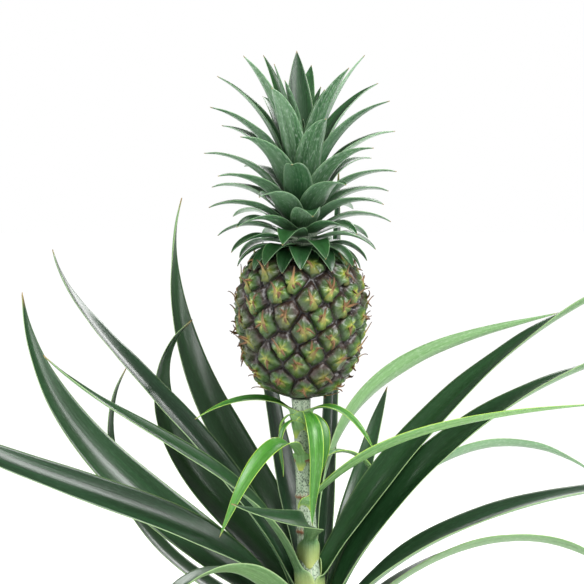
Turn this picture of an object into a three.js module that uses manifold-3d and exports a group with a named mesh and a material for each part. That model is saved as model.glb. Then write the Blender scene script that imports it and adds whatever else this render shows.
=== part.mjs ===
// A dwarf pineapple plant in its grower's pot: a plain round pot with drain holes, potting soil, one stem
// that runs up into the stalk, long channelled leaves in a rosette, small green leaves on the stalk, one
// barrel-shaped fruit of fused eyes and a tall leafy crown on top of it.
// Millimetres and degrees. +Z is up, the origin is the centre of the pot's underside, and -Y is the front.
import * as THREE from "three";
import { mergeVertices } from "three/addons/utils/BufferGeometryUtils.js";
import Module from "manifold-3d";

const wasm = await Module();
wasm.setup();

// ---- Driving dimensions ----
const potHeight = 118;
const potRimRadius = 66; // outside of the rolled rim
const potFootRadius = 46;
const potWall = 2.4;
const potFloor = 3;
const rimDepth = 9; // height of the rolled rim band
const rimOverhang = 3; // how far the rim stands out from the wall
const drainHole = { count: 8, radius: 4, ring: 31 };
const soilTop = 106;
const gap = 0.4; // clearance between neighbouring pieces

const stemBottom = 82;
const rosetteTop = 168; // above this the stem is a bare stalk
const stalkTop = 276.4;
const stalkLean = 7.5; // the stalk drifts this far towards -X on its way up
const fruitFoot = 277;
const fruitHeight = 101;
const eyeCount = 84;
const eyeBulge = 2.2;
const goldenAngle = 137.5;

const crownFoot = 382; // lowest leaf of the crown
const crownTop = 447; // innermost leaf of the crown
const crownLeafCount = 60;
const heartLeaves = 9; // the innermost ones, fused to the core
const skirtLeaves = 29; // the small drooping ones, fused to the collar
const crownTurn = 69.5; // heading of the innermost leaf
const looseEnd = crownLeafCount - skirtLeaves; // leaves below this one belong to the collar

const green = { leaf: "#2f5a33", young: "#7fae3a", crown: "#4d7a4a" };

// ---- Small helpers ----
const radians = THREE.MathUtils.degToRad;
const { lerp, clamp, smoothstep } = THREE.MathUtils;

// Reads a value off a list of [place, value] knots, straight between them.
function between(knots, place) {
  const next = knots.findIndex(([at]) => at >= place);
  if (next === 0) return knots[0][1];
  if (next < 0) return knots.at(-1)[1];
  const [a, b] = [knots[next - 1], knots[next]];
  return lerp(a[1], b[1], (place - a[0]) / (b[0] - a[0]));
}

// Reads a smooth curve through three values given for the start, the middle and the end.
function bend([start, middle, end], t) {
  return start + t * (4 * middle - 3 * start - end) + t * t * (2 * start - 4 * middle + 2 * end);
}

function solidOf(geometry) {
  const bare = new THREE.BufferGeometry();
  bare.setAttribute("position", geometry.getAttribute("position"));
  bare.setIndex(geometry.index);
  const merged = mergeVertices(bare, 1e-3);
  return new wasm.Manifold(
    new wasm.Mesh({
      numProp: 3,
      vertProperties: merged.getAttribute("position").array,
      triVerts: new Uint32Array(merged.index.array),
    }),
  );
}

function geometryOf(solid) {
  const mesh = solid.getMesh();
  const geometry = new THREE.BufferGeometry();
  geometry.setAttribute("position", new THREE.BufferAttribute(mesh.vertProperties, mesh.numProp));
  geometry.setIndex(new THREE.BufferAttribute(mesh.triVerts, 1));
  return geometry;
}

function lathe(profile, segments) {
  const points = profile.map(([radius, z]) => new THREE.Vector2(radius, z));
  return new THREE.LatheGeometry(points, segments).rotateX(Math.PI / 2);
}

// Sideways drift of the plant's axis at height z.
function leanAt(z) {
  return -stalkLean * clamp((z - soilTop) / (fruitFoot - soilTop), 0, 1);
}

function leanOver(geometry) {
  const position = geometry.getAttribute("position");
  for (let i = 0; i < position.count; i++) position.setX(i, position.getX(i) + leanAt(position.getZ(i)));
  return geometry;
}

// ---- Pot and soil ----
const insideRadius = (z) => lerp(potFootRadius, potRimRadius - rimOverhang, z / potHeight) - potWall;

function potGeometry() {
  const wallTop = potRimRadius - rimOverhang;
  const rimStart = potHeight - rimDepth;
  const outerAt = (z) => insideRadius(z) + potWall;
  const shell = lathe(
    [
      [0, 0],
      [potFootRadius - 2, 0],
      [potFootRadius, 2],
      [outerAt(rimStart), rimStart],
      [potRimRadius - 0.8, rimStart + 0.6],
      [potRimRadius, rimStart + 2.4],
      [potRimRadius, potHeight - 2],
      [potRimRadius - 1.2, potHeight],
      [wallTop - potWall + 1, potHeight],
      [wallTop - potWall, potHeight - 1],
      [insideRadius(potFloor + 2), potFloor + 2],
      [insideRadius(potFloor + 2) - 2, potFloor],
      [0, potFloor],
    ],
    48,
  );
  let pot = solidOf(shell);
  for (let i = 0; i < drainHole.count; i++) {
    const angle = (2 * Math.PI * i) / drainHole.count;
    const plug = new THREE.CylinderGeometry(drainHole.radius, drainHole.radius, potFloor * 3, 12)
      .rotateX(Math.PI / 2)
      .translate(drainHole.ring * Math.cos(angle), drainHole.ring * Math.sin(angle), potFloor / 2);
    pot = pot.subtract(solidOf(plug));
  }
  return geometryOf(pot);
}

// Radius of the stem, which thins into the stalk.
const stemKnots = [
  [stemBottom, 8],
  [98, 12.5],
  [112, 12.5],
  [140, 9.5],
  [rosetteTop, 7],
  [210, 6.2],
  [262, 5.8],
  [stalkTop, 6.6],
];
const stemRadius = (z) => between(stemKnots, z);

function stemGeometry() {
  const profile = [[0, stemBottom], ...stemKnots.map(([z, radius]) => [radius, z]), [0, stalkTop]];
  return leanOver(lathe(profile, 20));
}

function soilGeometry() {
  const bottom = potFloor + gap;
  const socket = stemRadius(98) + gap;
  return lathe(
    [
      [0, bottom],
      [insideRadius(potFloor + 4) - 2 - gap, bottom],
      [insideRadius(potFloor + 8) - gap, potFloor + 8],
      [insideRadius(soilTop - 3) - gap, soilTop - 3],
      [insideRadius(soilTop) - 8, soilTop],
      [socket + 4, soilTop + 1.5],
      [socket, soilTop + 1],
      [socket, stemBottom - 1],
      [0, stemBottom - 1],
    ],
    36,
  );
}

// ---- Fruit ----
// Outline of the fruit: height above its foot, and radius over the eyes.
const fruitOutline = [
  [0, 7],
  [2, 15],
  [7, 25.5],
  [16, 33.5],
  [28, 39],
  [40, 42.4],
  [52, 44.2],
  [62, 44.7],
  [74, 43.6],
  [86, 39.2],
  [94, 33],
  [99, 23],
  [fruitHeight, 12],
];

// The eyes sit on a spiral, each a golden angle on from the last and taking an equal share of the skin.
function fruitEyes() {
  const steps = 200;
  const area = [0];
  for (let i = 1; i <= steps; i++) {
    area.push(area[i - 1] + between(fruitOutline, (fruitHeight * i) / steps));
  }
  return Array.from({ length: eyeCount }, (_, k) => {
    const share = ((k + 0.5) / eyeCount) * area[steps];
    const z = (fruitHeight * area.findIndex((sum) => sum >= share)) / steps;
    const heading = radians(k * goldenAngle);
    const radius = between(fruitOutline, z);
    return new THREE.Vector3(radius * Math.cos(heading), radius * Math.sin(heading), z);
  });
}

function fruitGeometry() {
  const rows = [[0, 0], ...fruitOutline.map(([z, radius]) => [radius, z]), [0, fruitHeight]];
  const curve = new THREE.SplineCurve(rows.slice(1, -1).map(([radius, z]) => new THREE.Vector2(radius, z)));
  const profile = [[0, 0], ...curve.getPoints(24).map((point) => [point.x, point.y]), [0, fruitHeight]];
  const geometry = lathe(profile, 46);
  const eyes = fruitEyes();
  const eyeRadius = 11;
  const position = geometry.getAttribute("position");
  const point = new THREE.Vector3();
  for (let i = 0; i < position.count; i++) {
    point.fromBufferAttribute(position, i);
    const radius = Math.hypot(point.x, point.y);
    if (radius < 10) continue;
    const nearest = Math.min(...eyes.map((eye) => eye.distanceTo(point)));
    const sunk = eyeBulge * clamp(nearest / eyeRadius, 0, 1) ** 2;
    const keep = (radius - sunk) / radius;
    position.setXY(i, point.x * keep, point.y * keep);
  }
  return geometry;
}

// ---- Leaves ----
// Joins four-cornered rings (left edge, top of the midrib, right edge, underside of the midrib) and a tip
// point into one closed blade. Both sides are split along the same diagonals, so a twisted blade keeps its
// thickness.
function bladeGeometry(rings, tip) {
  const points = rings.flat();
  const faces = [0, 3, 1, 1, 3, 2];
  for (let i = 0; i < rings.length - 1; i++) {
    for (let k = 0; k < 4; k++) {
      const [a, b] = [4 * i + k, 4 * i + ((k + 1) % 4)];
      if (k % 2) faces.push(a, b, b + 4, a, b + 4, a + 4);
      else faces.push(a, b, a + 4, b, b + 4, a + 4);
    }
  }
  const last = 4 * (rings.length - 1);
  points.push(tip);
  for (let k = 0; k < 4; k++) faces.push(last + k, last + ((k + 1) % 4), points.length - 1);
  const geometry = new THREE.BufferGeometry().setFromPoints(points);
  geometry.setIndex(faces);
  return geometry;
}

// Breadth of a long leaf along its length, as a share of its full width: narrow foot, long point.
const strapShape = (t) => lerp(0.55, 1, smoothstep(t, 0, 0.22)) * (1 - t ** 2.4) ** 0.95;

// A leaf that leaves the stem at height foot, heading outwards, and climbs at the angles in rise. It is
// rolled about its own length by the angles in roll, and folded into a channel.
function leafGeometry({ foot, heading, turn, rise, length, width, roll = [0, 0, 0], thick = 1.5, steps = 15 }) {
  const start = radians(heading);
  const reach = stemRadius(foot) + gap + thick / 2 + 1.6;
  const point = new THREE.Vector3(reach * Math.cos(start) + leanAt(foot), reach * Math.sin(start), foot);
  const rings = [];
  for (let i = 0; i <= steps; i++) {
    const t = i / steps;
    const climb = radians(bend(rise, t));
    const course = radians(heading + turn * t);
    const ahead = new THREE.Vector3(
      Math.cos(climb) * Math.cos(course),
      Math.cos(climb) * Math.sin(course),
      Math.sin(climb),
    );
    if (i > 0) point.addScaledVector(ahead, length / steps);
    if (i === steps) return bladeGeometry(rings, point);
    const level = new THREE.Vector3(-Math.sin(course), Math.cos(course), 0);
    const twist = radians(bend(roll, t));
    const side = level.clone().applyAxisAngle(ahead, twist);
    const up = ahead.clone().cross(side);
    const half = (width * strapShape(t)) / 2;
    const fold = half * lerp(0.42, 0.3, t);
    const plump = (thick / 2) * lerp(1, 0.3, t);
    const at = (across, above) => point.clone().addScaledVector(side, across).addScaledVector(up, above);
    rings.push([at(half, fold), at(0, plump), at(-half, fold), at(0, -plump)]);
  }
}

// Long leaves of the rosette, as they stand round the stem.
const rosette = [
  { heading: 164.3, turn: 15, foot: 118, rise: [50, 41, 84], length: 306, width: 35, roll: [0, -60, -20] },
  { heading: 165, turn: -63, foot: 150, rise: [67, 33, 24], length: 385, width: 23, roll: [0, -2, 70] },
  { heading: 131, turn: -5, foot: 143, rise: [73, 48, 113], length: 317, width: 29, roll: [0, -19, 66] },
  { heading: 135, turn: 13, foot: 112, rise: [18, 34, 121], length: 286, width: 20, roll: [0, 0, 0] },
  { heading: 124.4, turn: 47, foot: 128.5, rise: [61, 43, 136], length: 256, width: 30, roll: [0, -37, -23] },
  { heading: 215, turn: -26, foot: 162, rise: [70, 33, 43], length: 236, width: 18, roll: [0, -40, 0] },
  { heading: 194, turn: -14, foot: 136, rise: [53, 20, 48], length: 363, width: 25, roll: [0, -56, 39] },
  { heading: 112, turn: 0, foot: 164, rise: [59, 63, 86], length: 235, width: 21, roll: [0, 28, 34] },
  { heading: 103, turn: -42, foot: 133, rise: [72, 30, 27], length: 205, width: 18, roll: [0, 0, 0] },
  { heading: 72, turn: -49, foot: 170, rise: [88, 26, 11], length: 325, width: 15, roll: [0, -90, -56] },
  { heading: 8, turn: -6, foot: 159, rise: [61, 43, 20], length: 330, width: 27, roll: [24, 24, -60] },
  { heading: 354, turn: 0, foot: 128, rise: [74, 38, 12], length: 336, width: 32, roll: [14, 27, -64] },
  { heading: 40, turn: 9, foot: 126, rise: [74, 14, -26], length: 345, width: 14, roll: [0, -50, 0] },
  { heading: 2, turn: 16, foot: 120, rise: [58, 15, 4], length: 328, width: 25, roll: [0, 13, -8] },
  { heading: 25, turn: 20, foot: 108, rise: [49, 3, -42], length: 320, width: 20, roll: [0, -20, 0] },
  { heading: 62, turn: 12, foot: 114, rise: [58, 52, 35], length: 212, width: 20, roll: [0, -4, 10] },
  { heading: 77, turn: -4.8, foot: 120, rise: [55, 81, 84], length: 325, width: 16, roll: [0, -24, 16] },
  { heading: 282, turn: -74, foot: 181, rise: [37, 12, 23], length: 124, width: 16, roll: [0, -52, -40] },
  { heading: 240, turn: 6, foot: 121, rise: [50, 8, -34], length: 250, width: 24, roll: [0, 10, 10] },
  { heading: 292, turn: -8, foot: 110, rise: [46, 6, -34], length: 260, width: 24, roll: [0, -10, -10] },
  { heading: 92, turn: 8, foot: 110, rise: [40, 18, -24], length: 290, width: 24, roll: [0, 10, 0] },
  { heading: 186, turn: 10, foot: 108, rise: [34, -2, -36], length: 250, width: 22, roll: [0, 0, 0] },
];

// Small leaves on the stalk.
const stalkLeaves = [
  { heading: 290, turn: 0, foot: 268, rise: [10, -92, -88], length: 86, width: 11 },
  { heading: 318, turn: 0, foot: 266, rise: [0, -94, -94], length: 56, width: 11 },
  { heading: 321, turn: 36, foot: 211, rise: [46, 18, 6], length: 222, width: 13, roll: [0, -27, -20] },
  { heading: 249, turn: -33, foot: 240, rise: [56, -31, -60], length: 116, width: 14, roll: [0, -15, -6] },
  { heading: 216, turn: 0, foot: 262, rise: [0, -88, -88], length: 42, width: 5.5 },
  { heading: 192, turn: 0, foot: 266, rise: [-10, -85, -88], length: 30, width: 4 },
  { heading: 180, turn: 4, foot: 270, rise: [40, -6, -30], length: 68, width: 9, roll: [0, -25, 0] },
  { heading: 345, turn: -9, foot: 270, rise: [30, -34, -56], length: 56, width: 9, roll: [0, 14, 0] },
  { heading: 90, turn: 0, foot: 268, rise: [10, -85, -85], length: 70, width: 9 },
  { heading: 40, turn: 10, foot: 228, rise: [60, -20, -60], length: 90, width: 8 },
];

// ---- Crown ----
// Shape of the crown's leaves, listed by place on the spiral: 0 is the innermost leaf.
const crownHeight = [
  [0, crownTop],
  [9, 433],
  [30, 406],
  [crownLeafCount - 1, crownFoot],
];
const crownLength = [
  [0, 50],
  [8, 78],
  [12, 92],
  [17, 88],
  [24, 75],
  [30, 66],
  [36, 60],
  [44, 52],
  [59, 36],
];
const crownRiseAtFoot = [
  [0, 87],
  [12, 80],
  [24, 68],
  [36, 48],
  [44, 33],
  [59, 8],
];
const crownRiseAtTip = [
  [0, 84],
  [8, 72],
  [12, 44],
  [17, 24],
  [24, 10],
  [30, 0],
  [36, -10],
  [44, -22],
  [59, -56],
];
const crownWidth = [
  [0, 8],
  [8, 15],
  [16, 20],
  [24, 23],
  [36, 23],
  [59, 19],
];
const spear = { index: 5, length: 80, tipRise: 80, width: 16.5 }; // the one leaf that stands straight up
const stunted = { index: 9, length: 26 }; // the leaf in front of the spear that stayed short

const crownFootOf = (index) => between(crownHeight, index);
const collarTop = crownFootOf(looseEnd - 0.4);
const coreRadius = (z) => lerp(12, 3.6, clamp((z - crownFoot) / (crownTop - crownFoot), 0, 1));
const lanceShape = (t) => lerp(0.8, 1, smoothstep(t, 0, 0.3)) * (1 - t ** 2.2) ** 0.9;

// A crown leaf lies in its own funnel about the crown's axis, each funnel nested in the one below. It stands
// free of the core, or is rooted in the core or the collar.
function crownLeafGeometry(index, steps, root) {
  const foot = crownFootOf(index);
  const heading = radians(crownTurn - goldenAngle * index);
  const upright = index === spear.index;
  const fullLength = upright ? spear.length : between(crownLength, index);
  const length = index === stunted.index ? stunted.length : fullLength;
  const tipRise = upright ? spear.tipRise : between(crownRiseAtTip, index);
  const rise = [between(crownRiseAtFoot, index), tipRise];
  const width = upright ? spear.width : between(crownWidth, index);
  const thick = 1;
  const clear = gap + thick / 2 + 0.12 * coreRadius(foot);
  let [radius, z] = root === "core" ? [coreRadius(foot) * 0.6, foot - 5] : [coreRadius(foot) + clear, foot];
  const onFunnel = (out, angle, high) =>
    new THREE.Vector3(out * Math.cos(heading + angle), out * Math.sin(heading + angle), high);
  const rings = [];
  if (root === "collar") {
    const [inside, low] = [coreRadius(foot) - 3, foot - 2.5];
    const corner = (out, angle) => onFunnel(out, angle, low + out - inside);
    rings.push([corner(inside, 0.6), corner(inside - 0.8, 0), corner(inside, -0.6), corner(inside + 0.8, 0)]);
  }
  for (let i = 0; i <= steps; i++) {
    const t = i / steps;
    const climb = radians(lerp(rise[0], rise[1], t ** 1.3));
    if (i > 0) {
      radius += (Math.cos(climb) * length) / steps;
      z += (Math.sin(climb) * length) / steps;
    }
    if (i === steps) return bladeGeometry(rings, onFunnel(radius, 0, z));
    const half = (width * lanceShape(t)) / 2;
    const angle = Math.min(half / radius, radians(upright ? 50 + 20 * t : 50));
    const fold = half * lerp(0.05, 0.3, smoothstep(t, 0.1, 0.5));
    const plump = (thick / 2) * lerp(1, 0.4, t);
    const [inward, upward] = [-Math.sin(climb), Math.cos(climb)];
    const edge = (sign) => onFunnel(radius + inward * fold, sign * angle, z + upward * fold);
    const rib = (sign) => onFunnel(radius + sign * inward * plump, 0, z + sign * upward * plump);
    rings.push([edge(1), rib(1), edge(-1), rib(-1)]);
  }
}

// The core of the crown is a cone, and it stands on the collar that carries the drooping leaves.
function coreGeometry() {
  return lathe(
    [
      [0, collarTop + gap],
      [coreRadius(collarTop), collarTop + gap],
      [coreRadius(crownTop), crownTop],
      [0, crownTop + 4],
    ],
    14,
  );
}

// The collar is the woody foot of the crown, and it sits on the top of the fruit.
function collarGeometry() {
  const bottom = fruitFoot + fruitHeight + gap;
  return lathe(
    [
      [0, bottom],
      [coreRadius(crownFoot) - 1, bottom],
      [coreRadius(crownFoot) + 0.3, bottom + 1.5],
      [coreRadius(collarTop), collarTop],
      [0, collarTop],
    ],
    14,
  );
}

// ---- The plant ----
const plant = new THREE.Group();
plant.name = "potted_pineapple_plant";

function add(name, geometry, color, roughness, parent = plant) {
  const material = new THREE.MeshStandardMaterial({ color, roughness, metalness: 0 });
  const mesh = new THREE.Mesh(geometry, material);
  mesh.name = name;
  parent.add(mesh);
  return mesh;
}

const numbered = (stem, i) => `${stem}_${String(i + 1).padStart(2, "0")}`;

add("pot", potGeometry(), "#8a4a33", 0.55);
add("soil", soilGeometry(), "#3a2a1e", 0.95);
add("stem", stemGeometry(), "#9fb39a", 0.7);
rosette.forEach((leaf, i) => add(numbered("rosette_leaf", i), leafGeometry(leaf), green.leaf, 0.4));
stalkLeaves.forEach((leaf, i) => {
  add(numbered("stalk_leaf", i), leafGeometry({ thick: 0.9, steps: 9, ...leaf }), green.young, 0.5);
});

const fruit = add("fruit", fruitGeometry(), "#66703a", 0.6);
fruit.position.set(leanAt(fruitFoot), 0, fruitFoot);

const crown = new THREE.Group();
crown.position.x = leanAt(crownFoot);
plant.add(crown);

let heart = solidOf(coreGeometry());
for (let i = 0; i < heartLeaves; i++) heart = heart.add(solidOf(crownLeafGeometry(i, 6, "core")));
add("crown_heart", geometryOf(heart.simplify(0.02)), green.crown, 0.6, crown);
let skirt = solidOf(collarGeometry());
for (let i = looseEnd; i < crownLeafCount; i++) skirt = skirt.add(solidOf(crownLeafGeometry(i, 6, "collar")));
add("crown_skirt", geometryOf(skirt.simplify(0.02)), green.crown, 0.6, crown);
for (let i = heartLeaves; i < looseEnd; i++) {
  add(numbered("crown_leaf", i - heartLeaves), crownLeafGeometry(i, 8), green.crown, 0.6, crown);
}

export default plant;
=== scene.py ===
import math
import random

import bmesh
import bpy
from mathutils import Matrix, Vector, noise


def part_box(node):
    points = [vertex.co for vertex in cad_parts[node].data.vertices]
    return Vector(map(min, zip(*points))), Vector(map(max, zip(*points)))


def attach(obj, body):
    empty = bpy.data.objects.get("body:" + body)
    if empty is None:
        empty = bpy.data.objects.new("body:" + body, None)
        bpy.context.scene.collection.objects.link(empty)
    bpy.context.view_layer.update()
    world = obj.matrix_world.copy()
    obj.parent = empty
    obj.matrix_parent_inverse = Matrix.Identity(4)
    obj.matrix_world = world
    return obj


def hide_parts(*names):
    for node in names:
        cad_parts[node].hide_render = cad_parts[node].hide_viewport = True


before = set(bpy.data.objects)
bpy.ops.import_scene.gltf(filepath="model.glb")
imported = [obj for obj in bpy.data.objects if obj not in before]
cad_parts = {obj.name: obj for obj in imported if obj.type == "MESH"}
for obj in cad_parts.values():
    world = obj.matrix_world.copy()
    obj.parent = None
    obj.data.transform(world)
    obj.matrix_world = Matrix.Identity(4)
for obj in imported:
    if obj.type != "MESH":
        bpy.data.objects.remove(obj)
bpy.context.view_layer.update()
mm = 0.001
goldenAngle = math.radians(137.5)


# An sRGB hex colour as linear red, green, blue and alpha.
def linear(hexColour):
    parts = [int(hexColour[i : i + 2], 16) / 255 for i in (1, 3, 5)]
    curve = (c / 12.92 if c <= 0.04045 else ((c + 0.055) / 1.055) ** 2.4 for c in parts)
    return (*curve, 1.0)


def lerp(a, b, t):
    return a + (b - a) * t


def smooth(low, high, x):
    t = min(max((x - low) / (high - low), 0), 1)
    return t * t * (3 - 2 * t)


def between(knots, x):  # a value read off a table of (place, value) pairs
    if x <= knots[0][0]:
        return knots[0][1]
    for (x0, y0), (x1, y1) in zip(knots, knots[1:]):
        if x <= x1:
            return lerp(y0, y1, (x - x0) / (x1 - x0))
    return knots[-1][1]


def alongSpline(points, t):  # Catmull-Rom through the points
    place = min(max(t, 0), 1) * (len(points) - 1)
    i = min(int(place), len(points) - 2)
    f = place - i
    a, b, c, d = (points[min(max(i + k, 0), len(points) - 1)] for k in (-1, 0, 1, 2))
    squared, cubed = 2 * a - 5 * b + 4 * c - d, 3 * b - 3 * c + d - a
    return 0.5 * (2 * b + (c - a) * f + squared * f * f + cubed * f**3)


# A closed body turned about the upright axis, from (radius, height) pairs in mm.
def turned(outline, steps):
    bm = bmesh.new()
    profile = [bm.verts.new((radius, 0, z)) for radius, z in outline]
    edges = [bm.edges.new(pair) for pair in zip(profile, profile[1:])]
    bmesh.ops.spin(
        bm,
        geom=profile + edges,
        cent=(0, 0, 0),
        axis=(0, 0, 1),
        angle=math.tau,
        steps=steps,
        use_merge=True,
    )
    bmesh.ops.remove_doubles(bm, verts=bm.verts, dist=1e-4)
    bmesh.ops.recalc_face_normals(bm, faces=bm.faces)
    return bm


def pieceFrom(bm, name, materials, slot, replaced=()):
    mesh = bpy.data.meshes.new(name)
    bm.to_mesh(mesh)
    bm.free()
    piece = bpy.data.objects.new(name, mesh)
    bpy.context.scene.collection.objects.link(piece)
    for material in materials:
        mesh.materials.append(material)
    mesh.polygons.foreach_set("use_smooth", [True] * len(mesh.polygons))
    if slot:
        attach(piece, "root")
    if replaced:
        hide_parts(*replaced)
    return piece


# A socket given as an input is linked, and any other value is set.
def setInputs(node, inputs):
    for name, value in inputs.items():
        if isinstance(value, bpy.types.NodeSocket):
            node.id_data.links.new(value, node.inputs[name])
        else:
            node.inputs[name].default_value = value


def addNode(tree, kind, inputs=None, stops=None, **settings):
    node = tree.nodes.new(kind)
    for name, value in settings.items():
        setattr(node, name, value)
    setInputs(node, inputs or {})
    if stops:
        elements = node.color_ramp.elements
        while len(elements) < len(stops):
            elements.new(0.5)
        for element, (place, value) in zip(elements, stops):  # a value is a hex colour or a share
            element.position = place
            element.color = linear(value) if isinstance(value, str) else (value, value, value, 1)
    return node


def startMaterial(name):
    material = bpy.data.materials.new(name)
    material.use_nodes = True
    tree = material.node_tree
    return material, tree, tree.nodes["Principled BSDF"]


leafGrain = {  # sizes are in metres, across the leaf and along it
    "veinLength": 0.09,
    "bands": (0.009, 0.16),
    "specks": (0.0008, 0.004),
    "relief": 0.0004,
    "speckRelief": 0.3,  # the specks' share of the relief
    "roughRange": (-0.07, 0.1),  # on either side of the leaf's own roughness
    "waxRough": 0.28,
    "glowRadius": (0.0012, 0.002, 0.0005),
    "dryTip": "#8A6B3C",
}


# A living leaf: waxy skin over parallel veins. The wax gives broad soft gloss, and the veins give
# fine lengthwise lines.
def leafSkin(name, look):
    material, tree, skin = startMaterial(name)
    uv = addNode(tree, "ShaderNodeUVMap", uv_map="leafUv").outputs["UV"]  # metres across and along
    along, margin, tone = (
        addNode(tree, "ShaderNodeAttribute", attribute_name=layer).outputs["Fac"]
        for layer in ("along", "margin", "tone")
    )
    patterns = []
    for (wide, high), options in (
        ((look["veinGap"], leafGrain["veinLength"]), {"Detail": 3.0, "Roughness": 0.6}),
        (leafGrain["bands"], {"Detail": 2.0}),
        (leafGrain["specks"], {"Detail": 1.0}),
    ):
        place = addNode(
            tree, "ShaderNodeMapping", {"Vector": uv, "Scale": (1 / wide, 1 / high, 1)}
        ).outputs[0]
        pattern = addNode(tree, "ShaderNodeTexNoise", {"Vector": place, "Scale": 1.0, **options})
        patterns.append(pattern.outputs["Fac"])
    veins, bands, specks = patterns
    colour = addNode(
        tree,
        "ShaderNodeValToRGB",
        {"Fac": veins},
        stops=[(0.34, look["dark"]), (0.66, look["light"])],
    ).outputs["Color"]
    layers = (  # what each follows, its (place, share) at both ends, and its colour
        (bands, (0.45, 0.0), (0.72, look["bandShare"]), look["band"]),
        (specks, (0.52, 0.0), (0.72, look["scurfShare"]), look["scurf"]),
        (tone, (0.0, 0.0), (1.0, look["toneShare"]), look["tone"]),
        # the foot layer tints a leaf's base: its real pale base on most leaves, and painted shade
        # on the crown leaves' undersides
        (along, (0.0, 0.95), (look["footEnd"], 0.0), look["foot"]),
        (margin, (0.93, 0.0), (0.985, look["edgeShare"]), look["edge"]),
        (along, (0.965, 0.0), (0.995, 0.9), leafGrain["dryTip"]),
    )
    for follows, start, end, over in layers:
        share = addNode(tree, "ShaderNodeValToRGB", {"Fac": follows}, stops=[start, end])
        colour = addNode(
            tree,
            "ShaderNodeMix",
            {"Factor": share.outputs["Color"], "A": colour, "B": linear(over)},
            data_type="RGBA",
        ).outputs[2]
    glossier, duller = leafGrain["roughRange"]
    rough = addNode(
        tree,
        "ShaderNodeMapRange",
        {"Value": bands, "To Min": look["rough"] + glossier, "To Max": look["rough"] + duller},
    )
    height = addNode(
        tree,
        "ShaderNodeMix",
        {"Factor": leafGrain["speckRelief"], "A": veins, "B": specks},
        data_type="FLOAT",
    )
    bump = addNode(
        tree,
        "ShaderNodeBump",
        {
            "Height": height.outputs[0],
            "Strength": look["bump"],
            "Distance": leafGrain["relief"],
        },
    )
    setInputs(
        skin,
        {
            "Base Color": colour,
            "Roughness": rough.outputs[0],
            "Normal": bump.outputs[0],
            "IOR": 1.45,
            "Coat Weight": look["wax"],
            "Coat Roughness": leafGrain["waxRough"],
            "Subsurface Weight": look["glow"],
            "Subsurface Radius": leafGrain["glowRadius"],
            "Subsurface Scale": 1.0,
        },
    )
    return material


# Upper skin of an old leaf: thick dark wax, glossy in a broad band.
rosetteTop = leafSkin(
    "rosetteLeafUpperSkin",
    {
        "veinGap": 0.0014,
        "dark": "#06170A",
        "light": "#14331B",
        "band": "#24502B",
        "bandShare": 0.4,
        "scurf": "#5E7F66",
        "scurfShare": 0.12,
        "tone": "#2A5226",
        "toneShare": 0.4,
        "foot": "#7C8E40",
        "footEnd": 0.16,
        "edge": "#7F9E62",
        "edgeShare": 0.45,
        "rough": 0.33,
        "bump": 0.5,
        "wax": 0.3,
        "glow": 0.0,
    },
)
# Underside of an old leaf: pale green, matt, with lines of silvery scales between the veins.
rosetteUnder = leafSkin(
    "rosetteLeafUnderskin",
    {
        "veinGap": 0.0012,
        "dark": "#3B6240",
        "light": "#668D62",
        "band": "#83A37C",
        "bandShare": 0.35,
        "scurf": "#A6BCA2",
        "scurfShare": 0.3,
        "tone": "#6F9548",
        "toneShare": 0.35,
        "foot": "#C2CB7A",
        "footEnd": 0.14,
        "edge": "#A5BC82",
        "edgeShare": 0.45,
        "rough": 0.42,
        "bump": 0.6,
        "wax": 0.08,
        "glow": 0.0,
    },
)
# Young stalk leaf: thin, bright and satin.
stalkTop = leafSkin(
    "stalkLeafUpperSkin",
    {
        "veinGap": 0.0011,
        "dark": "#1C5712",
        "light": "#3B8020",
        "band": "#6EA836",
        "bandShare": 0.4,
        "scurf": "#A9C79A",
        "scurfShare": 0.15,
        "tone": "#2C5A28",
        "toneShare": 0.7,
        "foot": "#C9D63A",
        "footEnd": 0.12,
        "edge": "#B9D84A",
        "edgeShare": 0.8,
        "rough": 0.38,
        "bump": 0.4,
        "wax": 0.25,
        "glow": 0.1,
    },
)
# Underside of a stalk leaf: paler, with a thin bloom.
stalkUnder = leafSkin(
    "stalkLeafUnderskin",
    {
        "veinGap": 0.0011,
        "dark": "#487C3C",
        "light": "#78A660",
        "band": "#98BC7C",
        "bandShare": 0.4,
        "scurf": "#B9CBB0",
        "scurfShare": 0.25,
        "tone": "#8DB173",
        "toneShare": 0.5,
        "foot": "#D2DA5C",
        "footEnd": 0.12,
        "edge": "#B9D84A",
        "edgeShare": 0.7,
        "rough": 0.48,
        "bump": 0.5,
        "wax": 0.1,
        "glow": 0.1,
    },
)
# Upper skin of a crown leaf: dark green, satin.
crownTopSkin = leafSkin(
    "crownLeafUpperSkin",
    {
        "veinGap": 0.0011,
        "dark": "#091F0E",
        "light": "#1A4020",
        "band": "#2F6430",
        "bandShare": 0.35,
        "scurf": "#6E8F69",
        "scurfShare": 0.12,
        "tone": "#22501C",
        "toneShare": 0.45,
        "foot": "#3F6A2E",
        "footEnd": 0.12,
        "edge": "#8FAE7C",
        "edgeShare": 0.5,
        "rough": 0.36,
        "bump": 0.5,
        "wax": 0.25,
        "glow": 0.05,
    },
)
# Underside of a crown leaf: floury white scales over green, with painted shade darkening the foot.
crownUnderSkin = leafSkin(
    "crownLeafUnderskin",
    {
        "veinGap": 0.0011,
        "dark": "#2F5A34",
        "light": "#668F66",
        "band": "#93B393",
        "bandShare": 0.6,
        "scurf": "#BDCFBD",
        "scurfShare": 0.5,
        "tone": "#2A5632",
        "toneShare": 0.75,
        # painted shade: the underside's foot is darkened up to 0.4 of the leaf's length, standing
        # in for the shade of the leaves that overlap it
        "foot": "#1E4A20",
        "footEnd": 0.4,
        "edge": "#8FB083",
        "edgeShare": 0.45,
        "rough": 0.34,
        "bump": 0.6,
        "wax": 0.35,
        "glow": 0.05,
    },
)
print("leaf materials made")


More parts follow.
